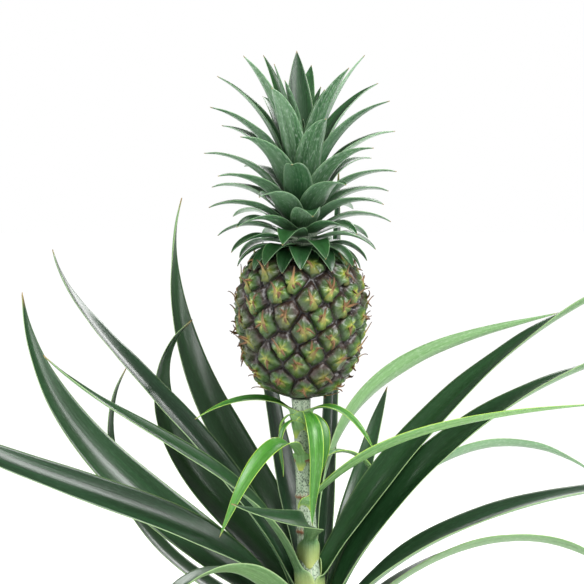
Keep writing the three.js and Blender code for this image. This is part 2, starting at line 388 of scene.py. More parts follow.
# The stem comes before the leaves, because their feet wrap round it. Its sizes are in mm.
stemSettings = {
    "knots": [  # height, radius
        (82, 8),
        (98, 12.5),
        (112, 12.5),
        (140, 9.5),
        (168, 7),
        (210, 6.2),
        (262, 5.8),
        (276.4, 6.6),
    ],
    "rings": (186, 210, 235, 263),  # heights of the leaf scars
    "ringSwell": 0.9,
    "ringWidth": 1.6,
    "rowCount": 217,
    "rowHeight": 0.9,
    "lean": -7.5,  # how far the stem's top stands off the pot's axis
    "leanFrom": 106,
    "leanHeight": 171,
}


def leanAt(z):
    share = (z - stemSettings["leanFrom"]) / stemSettings["leanHeight"]
    return stemSettings["lean"] * min(max(share, 0), 1)


# Stations of a CAD blade from foot to tip: left edge, middle and right edge.
def readBlade(node):
    bm = bmesh.new()
    bm.from_mesh(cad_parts[node].data)
    bmesh.ops.remove_doubles(bm, verts=bm.verts, dist=1e-6)
    # Four edges meet at the tip, and at the rib's two last points beside it.
    fourWay = [v for v in bm.verts if len(v.link_edges) == 4]
    tip = max(fourWay, key=lambda v: sum(e.other_vert(v) in fourWay for e in v.link_edges))
    rings, seen, ring = [], {tip}, [e.other_vert(tip) for e in tip.link_edges]
    while ring:
        rings.append(ring)
        seen.update(ring)
        around = (e.other_vert(v) for v in ring for e in v.link_edges)
        ring = list({other for other in around if other not in seen})
    rings.reverse()
    stations, across = [], None
    for ring in rings:
        pairs = [(a, b) for i, a in enumerate(ring) for b in ring[i + 1 :]]
        if across:  # left and right carry on from the ring before
            a, b = max(pairs, key=lambda pair: abs((pair[0].co - pair[1].co).dot(across)))
        else:
            a, b = max(pairs, key=lambda pair: (pair[0].co - pair[1].co).length)
        ribs = [v.co for v in ring if v not in (a, b)]
        middle = (ribs[0] + ribs[1]) / 2
        if across:
            turned = (a.co - b.co).dot(across) < 0
        else:
            top, bottom = sorted(ribs, key=lambda co: (co - (a.co + b.co) / 2).length)
            ahead = sum((v.co for v in rings[1]), Vector()) / 4 - middle
            turned = (a.co - b.co).cross(top - bottom).dot(ahead) < 0
        if turned:
            a, b = b, a
        across = (a.co - b.co).normalized()
        stations.append((a.co.copy(), middle, b.co.copy()))
    stations.append((tip.co.copy(), tip.co.copy(), tip.co.copy()))
    bm.free()
    return stations


# Stations of the foot of a leaf, which wraps round the stem below the first CAD station.
def claspOf(station, settings):
    foot = station[1]
    found = []
    for drop, standOff, halfAngle in settings["clasp"]:
        z = foot.z / mm - drop
        radius = between(stemSettings["knots"], z) + standOff
        axis = leanAt(z)
        heading = math.atan2(foot.y, foot.x - axis * mm)
        spots = []
        for turn, rise in ((-halfAngle, 1.5), (0, 0), (halfAngle, 1.5)):
            x = axis + radius * math.cos(heading + turn)
            y = radius * math.sin(heading + turn)
            spots.append(Vector((x, y, z + rise)) * mm)
        found.append(tuple(spots))
    left, right = found[0][0], found[0][2]
    if (station[0] - left).length > (station[0] - right).length:
        found = [spots[::-1] for spots in found]
    return found[::-1]


# Grows a fine leaf over the stations, in the mesh given.
def growLeaf(bm, stations, settings, seed):
    if "clasp" in settings:
        stations = claspOf(stations[0], settings) + stations
    lefts, middles, rights = (list(points) for points in zip(*stations))
    if "footReach" in settings:  # the foot of a crown leaf runs on inwards
        ahead = (middles[1] - middles[0]).normalized()
        inward = Vector((crownAxis - middles[0].x, -middles[0].y, 0))
        back = inward.normalized() * settings["footReach"] - ahead * settings["footLength"]
        for points in (lefts, middles, rights):
            points.insert(0, points[0] + back)
    rng = random.Random(seed)
    tone, wave = rng.random(), rng.uniform(0, 50)
    length = sum((b - a).length for a, b in zip(middles, middles[1:]))
    uvLayer = bm.loops.layers.uv.verify()
    alongLayer, marginLayer, toneLayer = (
        bm.verts.layers.float[layer] for layer in ("along", "margin", "tone")
    )
    weights = bm.verts.layers.deform.verify()
    made = bmesh.ops.create_grid(
        bm, x_segments=settings["across"], y_segments=settings["along"], size=1, calc_uvs=True
    )
    spots = {}
    for v in made["verts"]:
        x, t = v.co.x, (v.co.y + 1) / 2
        t = 1 - (1 - t) ** settings["crowding"]
        left, middle, right = (alongSpline(points, t) for points in (lefts, middles, rights))
        half = (right - left) / 2
        fold = (left + right) / 2 - middle
        up = fold.normalized() if fold.length > 1e-7 else Vector((0, 0, 1))
        ripple = noise.noise(Vector((t * length * settings["rippleRate"] + wave, x * 0.8, 0)))
        lift = settings["ripple"] * ripple * abs(x) ** 1.5
        lift *= smooth(0, 0.2, t) * smooth(1, 0.85, t)  # calm at the foot and the tip
        v.co = middle + half * x + fold * abs(x) ** settings["channel"] + up * lift
        v[alongLayer], v[marginLayer], v[toneLayer] = t, abs(x), tone
        v[weights][0] = (1 - settings["edgeThin"] * abs(x) ** 2) * lerp(1, settings["tipThick"], t)
        spots[v] = (x * half.length, t * length)
    for face in {f for v in made["verts"] for f in v.link_faces}:
        for loop in face.loops:
            loop[uvLayer].uv = (spots[loop.vert][0] + tone, spots[loop.vert][1] + wave)
    return made["verts"]


def leafPiece(name, bladeList, settings, materials, slot, replaced, seed):
    bm = bmesh.new()
    bm.loops.layers.uv.new("leafUv")
    for layer in ("along", "margin", "tone"):
        bm.verts.layers.float.new(layer)
    for i, stations in enumerate(bladeList):
        growLeaf(bm, stations, settings, seed + i)
    bmesh.ops.remove_doubles(bm, verts=bm.verts, dist=1e-5)
    piece = pieceFrom(bm, name, materials, slot, replaced)
    piece.vertex_groups.new(name="body")
    solid = piece.modifiers.new("thickness", "SOLIDIFY")
    solid.thickness = settings["thick"]
    solid.offset = -1
    solid.use_even_offset = False  # an even wall would spike where a blade folds back on itself
    solid.vertex_group = "body"
    solid.thickness_vertex_group = settings["thinnest"]
    solid.material_offset = 1
    solid.material_offset_rim = 1
    return piece


# A fine leaf for each CAD leaf whose name starts with the prefix.
def growOver(prefix, pieceName, settings, materials, slot, seed):
    for node in sorted(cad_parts):
        if node.startswith(prefix):
            number = node[-2:]
            stations = [readBlade(node)]
            pieceSeed = seed + int(number)
            leafPiece(pieceName + number, stations, settings, materials, slot, [node], pieceSeed)


bladeSettings = {
    "crowding": 1.15,  # over 1, the rows draw together towards the tip
    "edgeThin": 0.75,  # how much thinner a blade is at its edge
    "tipThick": 0.45,  # thickness at the tip, as a share of the foot's
    "thinnest": 0.12,
}
rosetteSettings = {
    **bladeSettings,
    "across": 12,
    "along": 60,
    "thick": 0.0017,
    "channel": 1.6,
    "ripple": 0.0012,
    "rippleRate": 28,
    # mm down from the first CAD station, mm off the stem's skin, radians round it
    "clasp": ((5, 1.4, 1.1), (13, 0.6, 1.5), (20, -1.5, 1.7)),
}
stalkSettings = {
    **rosetteSettings,
    "across": 10,
    "along": 40,
    "thick": 0.0009,
    "ripple": 0.0006,
    "clasp": ((3, 1.2, 1.2), (8, 0.6, 1.7), (12, -0.4, 1.9)),
}
rosetteSkins, stalkSkins = [rosetteTop, rosetteUnder], [stalkTop, stalkUnder]
growOver("rosette_leaf", "rosetteBlade_", rosetteSettings, rosetteSkins, "rosette_leaf", 100)
growOver("stalk_leaf", "stalkBlade_", stalkSettings, stalkSkins, "stalk_leaf", 200)
print("rosette and stalk leaves grown")


# The CAD's free crown leaves are read as they stand; those grown into the heart and the collar
# follow the same spiral. Knots are (leaf number, value), in mm and degrees.
crown = {
    "leafCount": 78,  # the last ones are the small scales that lie on the fruit's shoulder
    "heartCount": 9,
    "skirtFrom": 31,
    "firstTurn": math.radians(69.5),
    "height": [(0, 447), (9, 433), (30, 406), (59, 382), (80, 378.5)],
    "length": [
        (0, 50),
        (8, 78),
        (12, 92),
        (17, 88),
        (24, 75),
        (30, 66),
        (36, 60),
        (44, 52),
        (59, 36),
        (80, 26),
    ],
    "riseAtFoot": [(0, 87), (12, 80), (24, 68), (36, 48), (44, 33), (59, 8), (80, -8)],
    "riseAtTip": [
        (0, 84),
        (8, 72),
        (12, 44),
        (17, 24),
        (24, 10),
        (30, 0),
        (36, -10),
        (44, -22),
        (59, -56),
        (80, -84),
    ],
    "width": [(0, 8), (8, 15), (16, 20), (24, 23), (36, 23), (59, 19), (80, 15)],
    "spear": 5,
    "spearLength": 80,
    "spearWidth": 24,
    "spearRise": 80,
    "heart": {  # share of the length, and rise at the tip
        0: (0.5, 84),
        1: (0.4, 80),
        2: (0.75, 66),
        3: (0.7, 66),
        4: (0.95, 58),
        6: (0.8, 62),
        8: (0.8, 64),
    },
    "coreFoot": 382,
    "coreHeight": 65,
    "coreRadius": (12, 3.6),
    "axis": -0.0075,  # metres
    "steps": 10,
}
crownAxis = crown["axis"]


def crownStations(index):
    foot = between(crown["height"], index)
    climbed = (foot - crown["coreFoot"]) / crown["coreHeight"]
    core = lerp(*crown["coreRadius"], min(max(climbed, 0), 1))
    heading = crown["firstTurn"] - goldenAngle * index
    upright = index == crown["spear"]
    length = crown["spearLength"] if upright else between(crown["length"], index)
    width = crown["spearWidth"] if upright else between(crown["width"], index)
    riseAtFoot = between(crown["riseAtFoot"], index)
    riseAtTip = crown["spearRise"] if upright else between(crown["riseAtTip"], index)
    inHeart = index < crown["heartCount"]
    radius, z = (core * 0.6, foot - 5) if inHeart else (core * 1.12 + 0.9, foot)
    if index in crown["heart"]:
        share, riseAtTip = crown["heart"][index]
        length *= share
    steps, stations = crown["steps"], []
    for i in range(steps + 1):
        t = i / steps
        climb = math.radians(lerp(riseAtFoot, riseAtTip, t**1.3))
        if i:
            radius += math.cos(climb) * length / steps
            z += math.sin(climb) * length / steps
        half = width * lerp(0.8, 1, smooth(0, 0.3, t)) * max(1 - t**2.2, 0) ** 0.9 / 2
        angle = min(half / radius, math.radians(50 + (20 * t if upright else 0)))
        fold = half * lerp(0.05, 0.3, smooth(0.1, 0.5, t))
        spots = []
        for sign in (1, 0, -1):
            out = radius - (math.sin(climb) * fold if sign else 0)
            turn = heading + sign * angle
            high = z + (math.cos(climb) * fold if sign else 0)
            spot = Vector((out * math.cos(turn), out * math.sin(turn), high))
            if upright:  # the spear stands flat, clear of the other heart leaves
                level = Vector((-math.sin(heading), math.cos(heading), 0))
                spot = Vector((out * math.cos(heading), out * math.sin(heading), high))
                spot += level * half * sign
            spots.append(Vector((crownAxis, 0, 0)) + spot * mm)
        stations.append(tuple(spots))
    return stations


crownSettings = {
    **bladeSettings,
    "across": 10,
    "along": 48,
    "thick": 0.0011,
    "channel": 1.7,
    "ripple": 0.0004,
    "rippleRate": 60,
    "footReach": 0.002,
    "footLength": 0.003,
}
crownSkins = [crownTopSkin, crownUnderSkin]
growOver("crown_leaf", "crownBlade_", crownSettings, crownSkins, "crown", 300)
for name, first, end, node, seed in (
    ("crownHeartBlades", 0, crown["heartCount"], "crown_heart", 400),
    ("crownSkirtBlades", crown["skirtFrom"], crown["leafCount"], "crown_skirt", 500),
):
    blades = [crownStations(i) for i in range(first, end)]
    leafPiece(name, blades, crownSettings, crownSkins, "crown", [node], seed)


# The woody core that the crown leaves grow on.
def crownCore():
    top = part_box("crown_heart")[0].z / mm
    bm = turned([(0, 376), (11, 376), (12, 380), (9, top), (3.6, 447), (0, 451)], 32)
    bmesh.ops.scale(bm, vec=(mm, mm, mm), verts=bm.verts)
    bmesh.ops.translate(bm, vec=(crownAxis, 0, 0), verts=bm.verts)
    return bm


print("crown grown")


fruitSettings = {  # mm
    "eyeCount": 84,
    "eyeSize": 9,
    "eyeReach": 9.5,  # from the middle of an eye to its corners
    "turnJitter": 0.06,  # radians
    "heightJitter": 1.9,
    "seamDepth": 5.4,  # from the top of an eye down to the seam
    "seamWidth": 1.6,
    "ridgeHeight": 1.7,
    "creaseCount": 22,
    "creaseHeight": 0.16,
    "around": 300,
    "rows": 140,
    "outline": [
        (0, 7),
        (2, 15),
        (7, 25.5),
        (16, 33.5),
        (28, 39),
        (40, 42.4),
        (52, 44.2),
        (62, 44.7),
        (74, 43.6),
        (86, 39.2),
        (94, 33),
        (99, 23),
        (101, 12),
    ],
}
fruitFoot = Vector((crownAxis, 0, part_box("fruit")[0].z))
outline = fruitSettings["outline"]
fruitHeight = outline[-1][0]
tableSteps = 200



def skinRadius(z):  # mm over the eyes, smoothed between the outline's points
    spots = [Vector((r, h, 0)) for h, r in outline]
    low, high = 0.0, 1.0
    for _ in range(18):
        middle = (low + high) / 2
        if alongSpline(spots, middle).y < z:
            low = middle
        else:
            high = middle
    return alongSpline(spots, low).x


radiusTable = []
for i in range(tableSteps + 1):
    z = i * fruitHeight / tableSteps
    radiusTable.append((z, skinRadius(z)))


def eyePlaces():  # eyes wind up the fruit on a spiral, each with an equal share of the skin
    rng = random.Random(5)
    area, sums = 0, []
    for z, radius in radiusTable:
        area += radius
        sums.append(area)
    places = []
    for k in range(fruitSettings["eyeCount"]):
        share = (k + 0.5) / fruitSettings["eyeCount"] * area
        z = next(z for (z, _), total in zip(radiusTable, sums) if total >= share)
        heading = k * goldenAngle + rng.uniform(-1, 1) * fruitSettings["turnJitter"]
        z = min(max(z + rng.uniform(-1, 1) * fruitSettings["heightJitter"], 1), 100)
        radius = between(radiusTable, z)
        slope = (between(radiusTable, z + 1) - between(radiusTable, z - 1)) / 2
        outward = Vector((math.cos(heading), math.sin(heading), -slope)).normalized()
        level = Vector((-math.sin(heading), math.cos(heading), 0))
        upward = outward.cross(level)
        places.append(
            {
                "at": Vector((radius * math.cos(heading), radius * math.sin(heading), z)),
                "out": outward,
                "side": level,
                "up": upward,
            }
        )
    return places


eyes = eyePlaces()


def fruitBody():
    s = fruitSettings
    rng = random.Random(7)
    for eye in eyes:
        eye["tone"] = rng.random()
        eye["turn"] = rng.uniform(0, 6.28)
    spots = [Vector((r, h, 0)) for h, r in outline]
    rows = [alongSpline(spots, i / s["rows"]).xy for i in range(s["rows"] + 1)]
    bm = turned([(0, 0), *rows, (0, fruitHeight + 0.3)], s["around"])
    seamLayer, upLayer, centreLayer, toneLayer = (
        bm.verts.layers.float.new(layer) for layer in ("seam", "eyeUp", "eyeCentre", "eyeTone")
    )
    for v in bm.verts:
        near = sorted(((v.co - eye["at"]).length_squared, i) for i, eye in enumerate(eyes))[:2]
        nearest, second = math.sqrt(near[0][0]), math.sqrt(near[1][0])
        eye = eyes[near[0][1]]
        away = v.co - eye["at"]
        across, up = away.dot(eye["side"]) / s["eyeSize"], away.dot(eye["up"]) / s["eyeSize"]
        border = (second - nearest) / 2  # mm to the seam
        inEye = smooth(0, s["seamWidth"], border)
        centre = min(nearest / s["eyeReach"], 1.2)
        angle = math.atan2(up, across)
        # Five ridges meet at the tip of an eye.
        star = abs(math.cos(2.5 * angle + 0.785 + eye["turn"] * 0.15)) ** 2.4
        ridge = star * s["ridgeHeight"] * math.sin(math.pi * min(centre, 1)) * inEye
        crease = s["creaseHeight"] * math.cos(angle * s["creaseCount"] + eye["turn"])
        crease *= smooth(0.25, 0.7, centre) * inEye
        grain = noise.noise(v.co * 0.45) * 0.4 + noise.noise(v.co * 1.3) * 0.28
        sunk = s["seamDepth"] * (1 - 0.58 * inEye - 0.42 * (1 - centre**1.25) * inEye)
        sunk -= ridge + crease + grain
        outward = Vector((v.co.x, v.co.y, 0))
        if outward.length > 8:
            v.co -= outward.normalized() * sunk
        v[seamLayer], v[upLayer], v[toneLayer] = inEye, up, eye["tone"]
        v[centreLayer] = centre - 0.24 * star * inEye  # the tip's colour runs out along the ridges
    for v in bm.verts:
        v.co = v.co * mm + fruitFoot
    return bm


# Ripening fruit rind: each eye is yellow-green at its tip, bottle green on its facets and scurfy
# brown at its rim, with corky seams between that are painted near-black as shade in the deep seams.
# The skin is waxy, so the ridges glint.
def fruitSkin():
    material, tree, skin = startMaterial("pineappleRind")
    place = addNode(tree, "ShaderNodeTexCoord").outputs["Object"]
    seam, up, centre, tone = (
        addNode(tree, "ShaderNodeAttribute", attribute_name=name).outputs["Fac"]
        for name in ("seam", "eyeUp", "eyeCentre", "eyeTone")
    )
    coarse, fine = (
        addNode(
            tree,
            "ShaderNodeTexNoise",
            {"Vector": place, "Scale": 1 / size, "Detail": detail, "Roughness": rough},
        ).outputs["Fac"]
        for size, detail, rough in ((0.005, 4.0, 0.65), (0.0012, 3.0, 0.7))
    )
    ragged = addNode(
        tree, "ShaderNodeMath", {0: coarse, 1: 0.55, 2: -0.27}, operation="MULTIPLY_ADD"
    ).outputs[0]
    higher = addNode(tree, "ShaderNodeMath", {0: up, 1: 0.26}, operation="MULTIPLY").outputs[0]
    spread = centre
    for part in (ragged, higher):
        spread = addNode(tree, "ShaderNodeMath", {0: spread, 1: part}, operation="ADD").outputs[0]
    rings = addNode(
        tree,
        "ShaderNodeValToRGB",
        {"Fac": spread},
        stops=[
            (0.0, "#9A9A42"),
            (0.16, "#66782B"),
            (0.4, "#3E5C22"),
            (0.68, "#28421C"),
            (0.88, "#2E2614"),
            (1.0, "#1E110D"),
        ],
    ).outputs["Color"]
    bronze, flecks, seamCorkAndShade = (
        addNode(tree, "ShaderNodeValToRGB", {"Fac": follows}, stops=stops).outputs["Color"]
        for follows, stops in (
            (tone, [(0.4, 0.0), (1.0, 0.6)]),
            (fine, [(0.62, 0.0), (0.72, 0.6)]),
            (seam, [(0.03, 1.0), (0.45, 0.0)]),
        )
    )
    atRim = addNode(
        tree, "ShaderNodeMapRange", {"Value": spread, "From Min": 0.45, "From Max": 0.8}
    ).outputs[0]
    flecks = addNode(tree, "ShaderNodeMath", {0: flecks, 1: atRim}, operation="MULTIPLY").outputs[0]
    colour = rings
    # the seams are corky brown in part, and painted near-black as shade in the deep seams
    for share, over in ((bronze, "#33221A"), (flecks, "#A79A86"), (seamCorkAndShade, "#080403")):
        colour = addNode(
            tree,
            "ShaderNodeMix",
            {"Factor": share, "A": colour, "B": linear(over)},
            data_type="RGBA",
        ).outputs[2]
    rough = addNode(tree, "ShaderNodeMapRange", {"Value": coarse, "To Min": 0.18, "To Max": 0.5})
    bump = addNode(tree, "ShaderNodeBump", {"Height": fine, "Strength": 0.7, "Distance": 0.0006})
    setInputs(
        skin,
        {
            "Base Color": colour,
            "Roughness": rough.outputs[0],
            "Normal": bump.outputs[0],
            "IOR": 1.45,
            "Coat Weight": 0.35,
            "Coat Roughness": 0.2,
        },
    )
    return material


# Bract: a papery leaf scale, green at its foot and dried to an orange-brown curl at its tip.
def bractSkin():
    material, tree, skin = startMaterial("driedBract")
    uv = addNode(tree, "ShaderNodeUVMap", uv_map="leafUv").outputs["UV"]
    along, tone = (
        addNode(tree, "ShaderNodeAttribute", attribute_name=layer).outputs["Fac"]
        for layer in ("along", "tone")
    )
    place = addNode(
        tree, "ShaderNodeMapping", {"Vector": uv, "Scale": (1 / 0.0006, 1 / 0.006, 1)}
    ).outputs[0]
    fibre = addNode(
        tree, "ShaderNodeTexNoise", {"Vector": place, "Scale": 1.0, "Detail": 3.0}
    ).outputs["Fac"]
    colour = addNode(
        tree,
        "ShaderNodeValToRGB",
        {"Fac": along},
        stops=[
            (0.0, "#4A6026"),
            (0.28, "#7E8A3A"),
            (0.5, "#A6935A"),
            (0.7, "#8E6A42"),
            (1.0, "#41281A"),
        ],
    ).outputs["Color"]
    toned = addNode(tree, "ShaderNodeMath", {0: tone, 1: 0.6}, operation="MULTIPLY").outputs[0]
    fibrous = addNode(
        tree, "ShaderNodeValToRGB", {"Fac": fibre}, stops=[(0.35, 0.35), (0.7, 0.0)]
    ).outputs["Color"]
    for share, over in ((toned, "#4E3826"), (fibrous, "#3A2616")):
        colour = addNode(
            tree,
            "ShaderNodeMix",
            {"Factor": share, "A": colour, "B": linear(over)},
            data_type="RGBA",
        ).outputs[2]
    bump = addNode(tree, "ShaderNodeBump", {"Height": fibre, "Strength": 0.5, "Distance": 0.0003})
    setInputs(
        skin,
        {"Base Color": colour, "Normal": bump.outputs[0], "Roughness": 0.62, "IOR": 1.45},
    )
    return material


# A dry scale that lies on an eye and then curls away from it along a bent path.
def growScale(bm, eye, settings, rng):
    alongLayer, toneLayer = bm.verts.layers.float["along"], bm.verts.layers.float["tone"]
    uvLayer = bm.loops.layers.uv.verify()
    rows = settings["rows"]
    made = bmesh.ops.create_grid(bm, x_segments=3, y_segments=rows, size=1, calc_uvs=True)
    tone = rng.random()
    length = settings["length"] * rng.uniform(0.75, 1.25)
    # Radians from straight up the fruit.
    course = settings["course"] + rng.uniform(-1, 1) * settings["scatter"]
    flat = eye["up"] * math.cos(course) + eye["side"] * math.sin(course)
    spot = eye["at"] - flat * settings["behind"] + eye["out"] * settings["sunk"]
    spot += (eye["side"] * rng.uniform(-1, 1) + eye["up"] * rng.uniform(-1, 1)) * settings["spread"]
    curl, sway = rng.uniform(*settings["curl"]), rng.uniform(-1, 1) * settings["sway"]
    path = []
    for i in range(rows + 1):
        t = i / rows
        rise = settings["lift"] * (1 - t) + curl * t * t
        ahead = flat * math.cos(rise) + eye["out"] * math.sin(rise)
        above = eye["out"] * math.cos(rise) - flat * math.sin(rise)
        across = ahead.cross(above)
        ahead = (ahead + across * sway * t).normalized()
        path.append((spot.copy(), across, above))
        spot += ahead * length / rows
    spots = {}
    for v in made["verts"]:
        x, t = v.co.x, (v.co.y + 1) / 2
        at, across, above = path[round(t * rows)]
        half = between(settings["halfWidth"], t)
        v.co = (at + across * half * x - above * settings["cup"] * half * x * x) * mm + fruitFoot
        v[alongLayer], v[toneLayer] = lerp(settings["dryFrom"], 1, t), tone
        spots[v] = ((x * half + tone * 30) * mm, t * length * mm + tone)
    for face in {f for v in made["verts"] for f in v.link_faces}:
        for loop in face.loops:
            loop[uvLayer].uv = spots[loop.vert]


def scalePiece(name, settings, seed, material):
    rng = random.Random(seed)
    bm = bmesh.new()
    bm.loops.layers.uv.new("leafUv")
    for layer in ("along", "tone"):
        bm.verts.layers.float.new(layer)
    for eye in eyes:
        for _ in range(settings["count"]):
            if rng.random() < settings["share"]:
                growScale(bm, eye, settings, rng)
    piece = pieceFrom(bm, name, [material], "fruit")
    solid = piece.modifiers.new("thickness", "SOLIDIFY")
    solid.thickness = settings["thick"]
    solid.offset = 0
    return piece


pieceFrom(fruitBody(), "fruitRind", [fruitSkin()], "fruit", ["fruit"])
dried = bractSkin()
bracts = {  # sizes in mm, and angles in radians
    "count": 1,
    "share": 1,
    "rows": 10,
    "length": 15,
    "thick": 0.0004,  # metres
    "halfWidth": [(0, 3.4), (0.25, 2.7), (0.5, 1.1), (0.7, 0.7), (0.9, 0.55), (1, 0.2)],
    "course": 0,
    "scatter": 0.25,
    "behind": 8.4,
    "sunk": -2.1,
    "spread": 0,
    "lift": 0.5,
    "curl": (-0.6, 1.9),
    "sway": 1.5,
    "cup": 0.45,
    "dryFrom": 0.0,
}
wisps = {
    "count": 3,
    "share": 0.55,
    "rows": 7,
    "length": 8,
    "thick": 0.0004,
    "halfWidth": [(0, 0.6), (0.4, 0.9), (0.8, 0.55), (1, 0.12)],
    "course": 0,
    "scatter": 3.1,
    "behind": 0,
    "sunk": -0.8,
    "spread": 1.8,
    "lift": 0.9,
    "curl": (-2.2, 1.2),
    "sway": 1.6,
    "cup": 0.8,
    "dryFrom": 0.55,
}
scalePiece("fruitBracts", bracts, 11, dried)
scalePiece("fruitFlowerWisps", wisps, 12, dried)
print("fruit grown")


def stemPiece():
    s = stemSettings
    foot = s["knots"][0][0]
    profile = [(0, foot)]
    for i in range(s["rowCount"]):
        z = foot + i * s["rowHeight"]
        radius = between(s["knots"], z)
        for scar in s["rings"]:
            radius += s["ringSwell"] * math.exp(-(((z - scar) / s["ringWidth"]) ** 2))
        profile.append((radius, z))
    bm = turned([*profile, (0, z)], 48)
    ringLayer = bm.verts.layers.float.new("ring")
    for v in bm.verts:
        heading = math.atan2(v.co.y, v.co.x)
        x, y = math.cos(heading), math.sin(heading)
        wobble = noise.noise(Vector((x * 1.6, y * 1.6, v.co.z * 0.02)))
        fibre = noise.noise(Vector((x * 7, y * 7, v.co.z * 0.03)))
        grow = 1 + 0.05 * wobble + 0.02 * fibre
        scarAt = min(abs(v.co.z - scar - 0.8 * wobble) for scar in s["rings"])
        v[ringLayer] = math.exp(-((scarAt / (s["ringWidth"] + 2.2 * fibre)) ** 2))
        v.co = Vector((v.co.x * grow + leanAt(v.co.z), v.co.y * grow, v.co.z)) * mm
    return bm


# Pineapple stalk: pale waxy green, with dark freckles and brown leaf scars.
def stalkSkin():
    material, tree, skin = startMaterial("pineappleStalk")
    place = addNode(tree, "ShaderNodeTexCoord").outputs["Object"]
    ring = addNode(tree, "ShaderNodeAttribute", attribute_name="ring").outputs["Fac"]
    stretched = addNode(
        tree,
        "ShaderNodeMapping",
        {"Vector": place, "Scale": (1 / 0.0012, 1 / 0.0012, 1 / 0.02)},
    ).outputs[0]
    fibres = addNode(
        tree, "ShaderNodeTexNoise", {"Vector": stretched, "Scale": 1.0, "Detail": 3.0}
    ).outputs["Fac"]
    freckles = addNode(
        tree,
        "ShaderNodeTexNoise",
        {"Vector": place, "Scale": 1 / 0.0013, "Detail": 2.0, "Roughness": 0.6},
    ).outputs["Fac"]
    colour = addNode(
        tree,
        "ShaderNodeValToRGB",
        {"Fac": fibres},
        stops=[(0.3, "#8AA284"), (0.55, "#AFBFA6"), (0.75, "#C4CDB2")],
    ).outputs["Color"]
    freckled = addNode(
        tree, "ShaderNodeValToRGB", {"Fac": freckles}, stops=[(0.52, 0.0), (0.6, 0.8)]
    ).outputs["Color"]
    for share, over in ((freckled, "#34493A"), (ring, "#7A4A2E")):
        colour = addNode(
            tree,
            "ShaderNodeMix",
            {"Factor": share, "A": colour, "B": linear(over)},
            data_type="RGBA",
        ).outputs[2]
    bump = addNode(tree, "ShaderNodeBump", {"Height": fibres, "Strength": 0.5, "Distance": 0.0005})
    setInputs(
        skin,
        {"Base Color": colour, "Normal": bump.outputs[0], "Roughness": 0.5, "IOR": 1.45},
    )
    return material


stalkFinish = stalkSkin()
pieceFrom(stemPiece(), "stalk", [stalkFinish], "stem", ["stem"])
pieceFrom(crownCore(), "crownCore", [stalkFinish], "crown")
print("stem made")


potSettings = {  # mm
    "height": 118,
    "rimRadius": 66,
    "footRadius": 46,
    "wall": 2.4,
    "floor": 3,
    "rimDepth": 9,
    "overhang": 3,
    "holes": 8,
    "holeRadius": 4,
    "holeRing": 31,
    "rounding": 0.6,
}


def potPiece():
    s = potSettings
    bodyTop = s["rimRadius"] - s["overhang"]
    underRim = s["height"] - s["rimDepth"]
    outline = [
        (0, 0),
        (s["footRadius"], 0),
        (bodyTop - 0.7, underRim),
        (s["rimRadius"], underRim),
        (s["rimRadius"], s["height"]),
        (bodyTop - s["wall"], s["height"]),
        (s["footRadius"] - s["wall"], s["floor"]),
        (0, s["floor"]),
    ]
    bm = turned(outline, 128)
    bmesh.ops.scale(bm, vec=(mm, mm, mm), verts=bm.verts)
    pot = pieceFrom(bm, "potShell", [potPlastic()], "pot", ["pot"])
    cutter = bmesh.new()
    for i in range(s["holes"]):
        made = bmesh.ops.create_cone(
            cutter,
            cap_ends=True,
            segments=24,
            radius1=s["holeRadius"],
            radius2=s["holeRadius"],
            depth=12,
        )
        heading = math.tau * i / s["holes"]
        at = Vector((math.cos(heading), math.sin(heading), 0)) * s["holeRing"]
        at.z = s["floor"] / 2
        bmesh.ops.translate(cutter, vec=at, verts=made["verts"])
    bmesh.ops.scale(cutter, vec=(mm, mm, mm), verts=cutter.verts)
    drills = pieceFrom(cutter, "potDrills", [], None)
    cut = pot.modifiers.new("holes", "BOOLEAN")
    cut.object = drills
    cut.operation = "DIFFERENCE"
    cut.solver = "EXACT"
    depsgraph = bpy.context.evaluated_depsgraph_get()
    holed = bpy.data.meshes.new_from_object(pot.evaluated_get(depsgraph))
    pot.modifiers.clear()
    clean = bmesh.new()
    clean.from_mesh(holed)
    bmesh.ops.remove_doubles(clean, verts=clean.verts, dist=2e-5)
    bmesh.ops.dissolve_degenerate(clean, edges=clean.edges, dist=1e-5)
    clean.to_mesh(holed)
    clean.free()
    pot.data = holed
    bpy.data.objects.remove(drills)
    rounded = pot.modifiers.new("rounded", "BEVEL")
    rounded.width = s["rounding"] * mm
    rounded.segments = 3
    rounded.limit_method = "ANGLE"
    rounded.angle_limit = math.radians(50)


# Injection-moulded polypropylene in a terracotta brown: satin, with a very fine spark-eroded grain.
def potPlastic():
    material, tree, skin = startMaterial("mouldedPolypropylene")
    place = addNode(tree, "ShaderNodeTexCoord").outputs["Object"]
    grain, clouds = (
        addNode(
            tree, "ShaderNodeTexNoise", {"Vector": place, "Scale": 1 / size, "Detail": detail}
        ).outputs["Fac"]
        for size, detail in ((0.0006, 2.0), (0.05, 3.0))
    )
    colour = addNode(
        tree, "ShaderNodeValToRGB", {"Fac": clouds}, stops=[(0.35, "#84452F"), (0.65, "#96523A")]
    ).outputs["Color"]
    rough = addNode(tree, "ShaderNodeMapRange", {"Value": clouds, "To Min": 0.38, "To Max": 0.55})
    bump = addNode(tree, "ShaderNodeBump", {"Height": grain, "Strength": 0.25, "Distance": 0.0002})
    setInputs(
        skin,
        {
            "Base Color": colour,
            "Roughness": rough.outputs[0],
            "Normal": bump.outputs[0],
            "IOR": 1.49,
        },
    )
    return material


potPiece()
print("pot made")


soilSettings = {  # mm
    "radius": 60.0,
    "gap": 0.7,  # between the soil and the radius it may fill
    "top": 105.2,
    "footRadii": (42.5, 45),
    "rings": 30,
    "mound": 2,  # how far the soil is heaped round the stem
    "crumbs": 260,
    "perlite": 60,
    "spread": 57,  # how far out the grains lie
}


